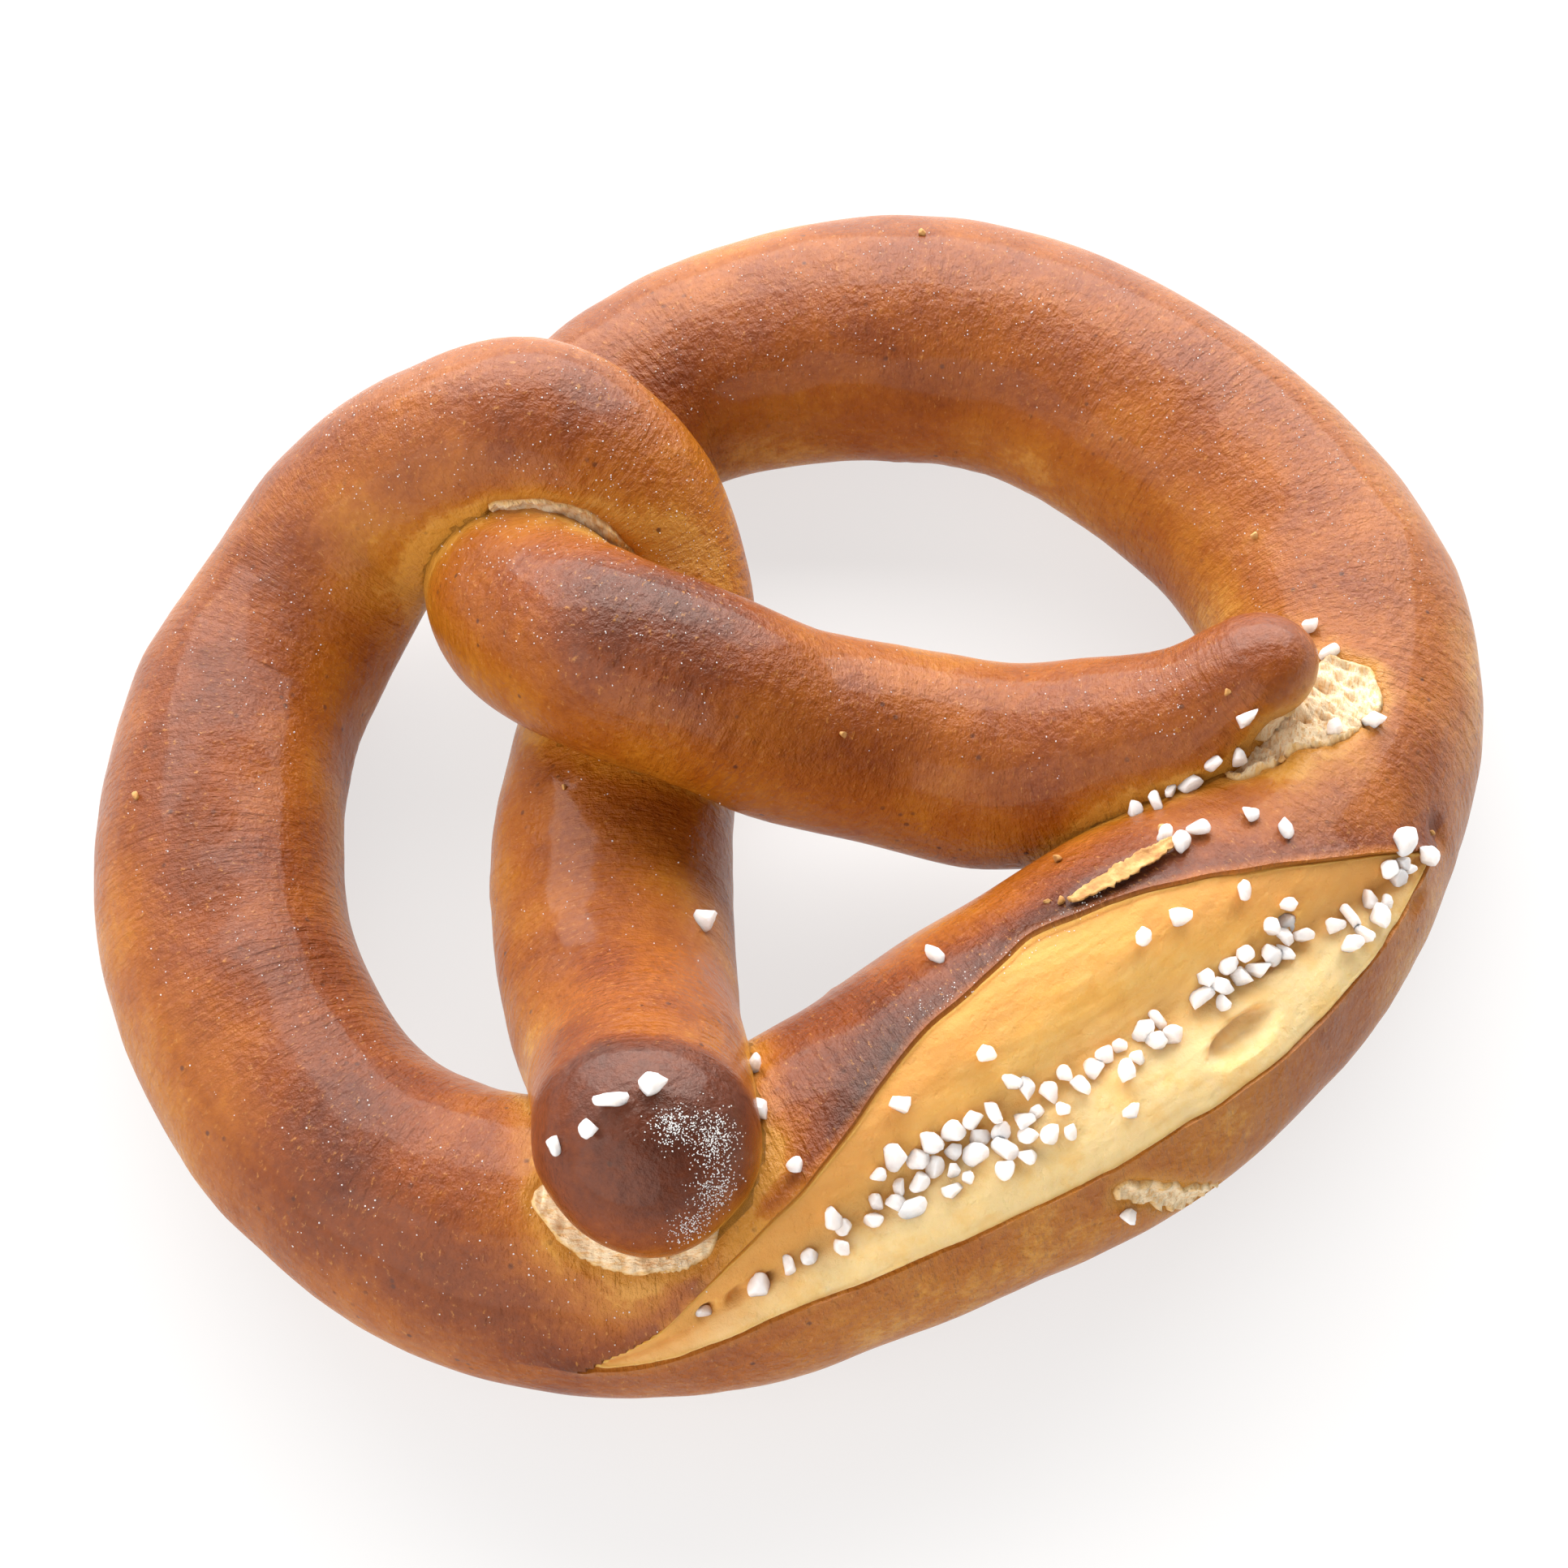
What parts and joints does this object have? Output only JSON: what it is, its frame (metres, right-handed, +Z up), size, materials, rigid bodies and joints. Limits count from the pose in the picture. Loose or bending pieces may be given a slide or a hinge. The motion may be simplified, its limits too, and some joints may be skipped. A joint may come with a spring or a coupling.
{
  "type": "soft pretzel",
  "caption": "Large soft pretzel with a glossy lye-browned crust, crossed arms pressed onto a thick belly, a pale open split along the belly and coarse salt.",
  "frame": {"origin": "on the table, under the middle of the pretzel's bounding box", "axes": "+X along the belly, with arm B's thin tip at +X; +Y from the belly towards the twist; +Z up from the flat underside"},
  "size_m": [0.1635, 0.1366, 0.0474],
  "materials": {
    "crust": "satin",
    "crumb": "matte",
    "salt": "satin"
  },
  "bodies": {
    "root": {"pretzel": "crust"}
  },
  "joints": []
}
